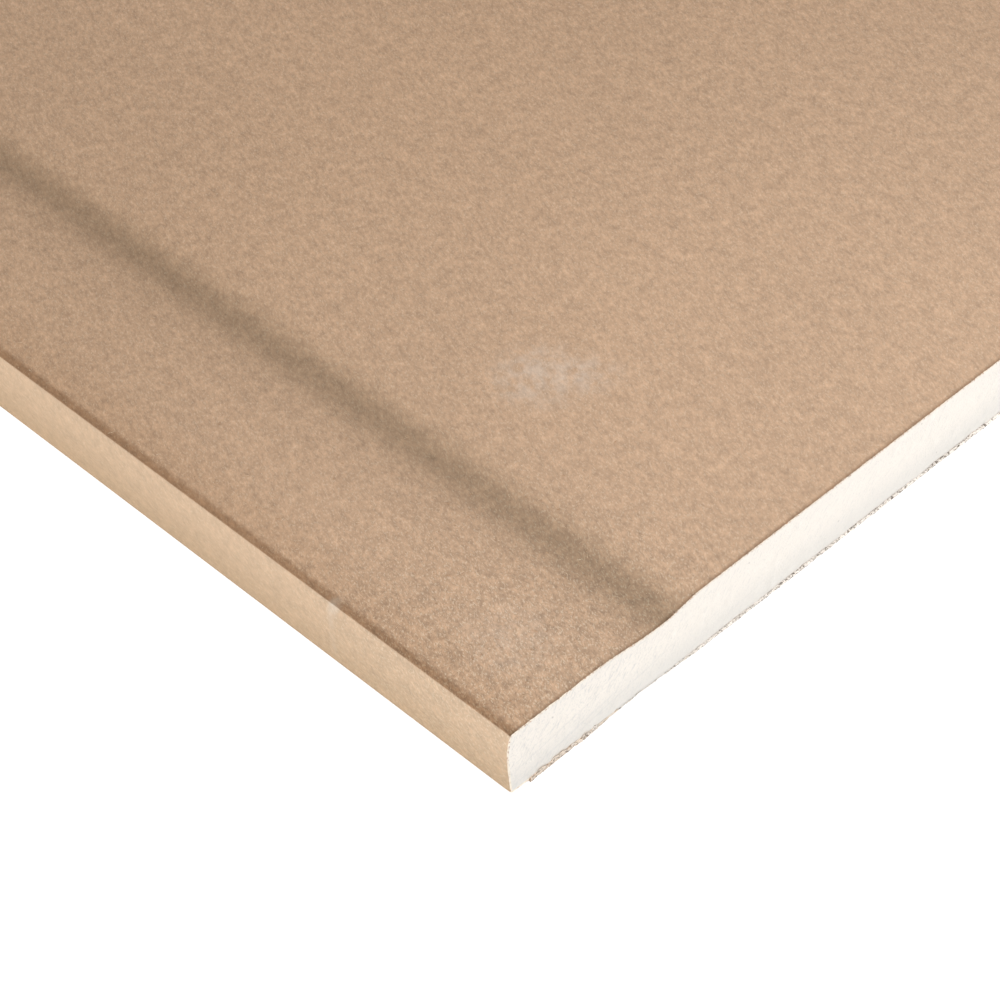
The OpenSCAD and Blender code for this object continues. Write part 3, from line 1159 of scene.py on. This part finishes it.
world = bpy.data.worlds.new("soft white surround")
bpy.context.scene.world = world
world.use_nodes = True
surround = next(n for n in world.node_tree.nodes if n.type == "BACKGROUND")
surround.inputs["Color"].default_value = (1, 1, 1, 1)
skyTree = world.node_tree
way = addNode(skyTree, "ShaderNodeTexCoord").outputs["Generated"]
rise = addNode(skyTree, "ShaderNodeSeparateXYZ", {0: way}).outputs["Z"]
steepness = addNode(skyTree, "ShaderNodeMath", {0: rise, 1: rise}, operation="MULTIPLY")
flatness = addNode(skyTree, "ShaderNodeMath", {0: 1.0, 1: steepness}, operation="SUBTRACT")
low = addNode(skyTree, "ShaderNodeMath", {0: flatness, 1: 2.0}, operation="POWER")
glow = addNode(skyTree, "ShaderNodeMath", {
    0: low, 1: studio["horizon"], 2: studio["zenith"],
}, operation="MULTIPLY_ADD")
skyTree.links.new(glow.outputs[0], surround.inputs["Strength"])

nearCorner = Vector((halfLength, -halfWidth, sheetThickness))
azimuth, height = math.radians(studio["sunAzimuth"]), math.radians(studio["sunHeight"])
level = math.cos(height)
towardsSun = Vector((math.cos(azimuth) * level, -math.sin(azimuth) * level, math.sin(height)))
sun = bpy.data.lights.new("broad key light", "SUN")
sun.energy = studio["sunStrength"]
sun.angle = math.radians(studio["sunWidth"])
sunObject = addObject("broad key light", sun)
sunObject.rotation_euler = towardsSun.to_track_quat("Z", "Y").to_euler()

lamp = bpy.data.lights.new("corner lamp", "AREA")
lamp.shape = "DISK"
lamp.size = studio["lampSize"]
lamp.energy = studio["lampPower"]
lampObject = addObject("corner lamp", lamp)
lampObject.location = nearCorner + Vector(studio["lampPlace"])
lampObject.rotation_euler = Vector(studio["lampPlace"]).to_track_quat("Z", "Y").to_euler()
lampObject.visible_camera = False

viewpoint = {
    "place": (1.42494, -0.79425, 0.35202),
    "azimuth": 48.861,           # degrees: which way the camera stands, from -Y towards +X
    "elevation": 44.562,
    "roll": -4.19,
    "lens": 116.15,
}
a, e, r = (math.radians(viewpoint[k]) for k in ("azimuth", "elevation", "roll"))
backward = Vector((math.sin(a) * math.cos(e), -math.cos(a) * math.cos(e), math.sin(e)))
right = Vector((math.cos(a), math.sin(a), 0))
up = backward.cross(right)
cameraX = right * math.cos(r) + up * math.sin(r)
cameraY = up * math.cos(r) - right * math.sin(r)
camera = bpy.data.cameras.new("camera")
camera.lens = viewpoint["lens"]
camera.sensor_width = 36
camera.clip_start = 0.01
camera.clip_end = 100
cameraObject = addObject("camera", camera)
turned = Matrix((cameraX, cameraY, backward)).transposed().to_4x4()
cameraObject.matrix_world = Matrix.Translation(viewpoint["place"]) @ turned
bpy.context.scene.camera = cameraObject
bpy.context.scene.view_settings.view_transform = "Standard"
